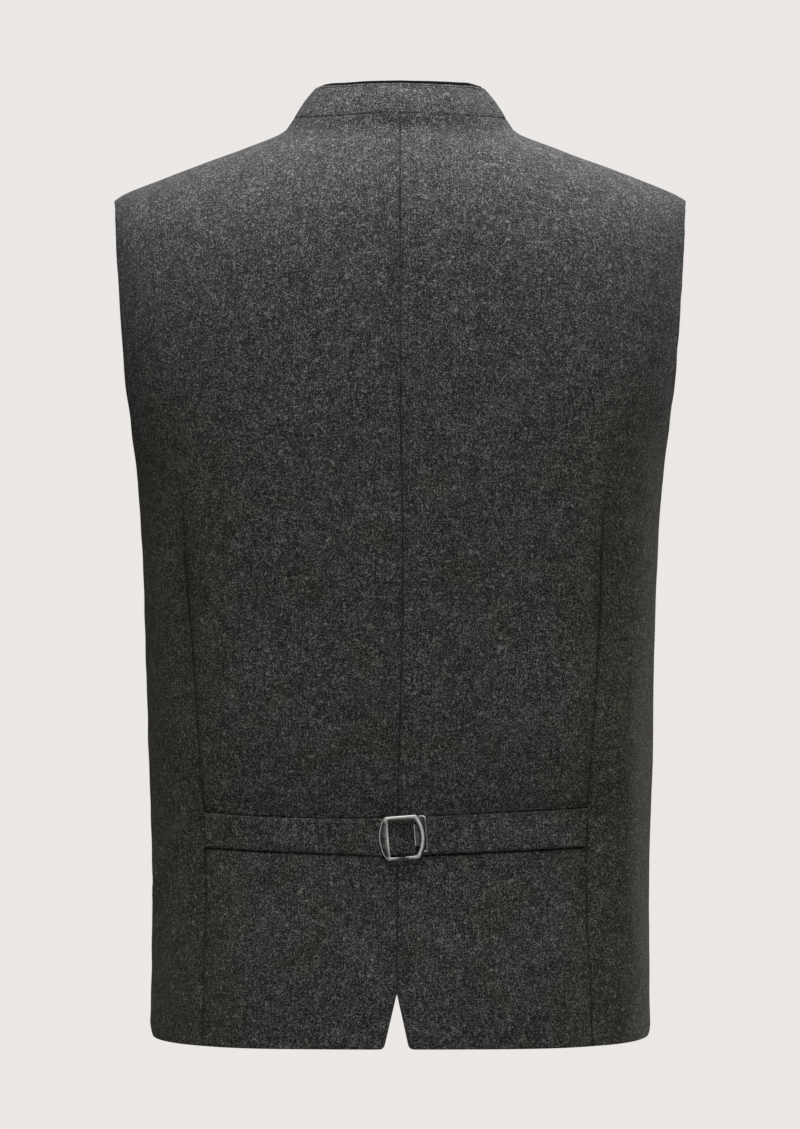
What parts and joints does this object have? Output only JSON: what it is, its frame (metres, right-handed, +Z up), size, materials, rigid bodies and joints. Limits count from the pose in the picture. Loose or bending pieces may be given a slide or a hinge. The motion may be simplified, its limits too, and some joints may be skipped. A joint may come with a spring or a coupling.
{
  "type": "trachten vest",
  "caption": "Man's wool trachten vest shown worn: stand collar, centre back seam with a small open vent, side back seams, a cinch strap with a metal buckle across the back, buttoned front.",
  "frame": {"origin": "middle of the neck opening, level with the points where the shoulder seams meet the collar", "axes": "+Z up, +X to the wearer's left, +Y to the wearer's back; the hem lies at negative Z"},
  "size_m": [0.4158, 0.2525, 0.6865],
  "materials": {
    "wool": "matte melange wool cloth",
    "dark_facing": "matte dark facing cloth",
    "old_nickel": "worn satin nickel",
    "button_metal": "worn satin metal"
  },
  "bodies": {
    "root": {"back_left": "wool", "back_right": "wool", "side_back_left": "wool", "side_back_right": "wool", "front_left": "wool", "front_right": "wool", "collar": "wool", "strap_left": "wool", "strap_right": "wool", "collar_facing": "dark_facing", "buckle_frame": "old_nickel", "buckle_bar": "old_nickel", "buckle_loop": "old_nickel", "button_1": "button_metal", "button_2": "button_metal", "button_3": "button_metal", "button_4": "button_metal", "button_5": "button_metal", "button_6": "button_metal"}
  },
  "joints": []
}
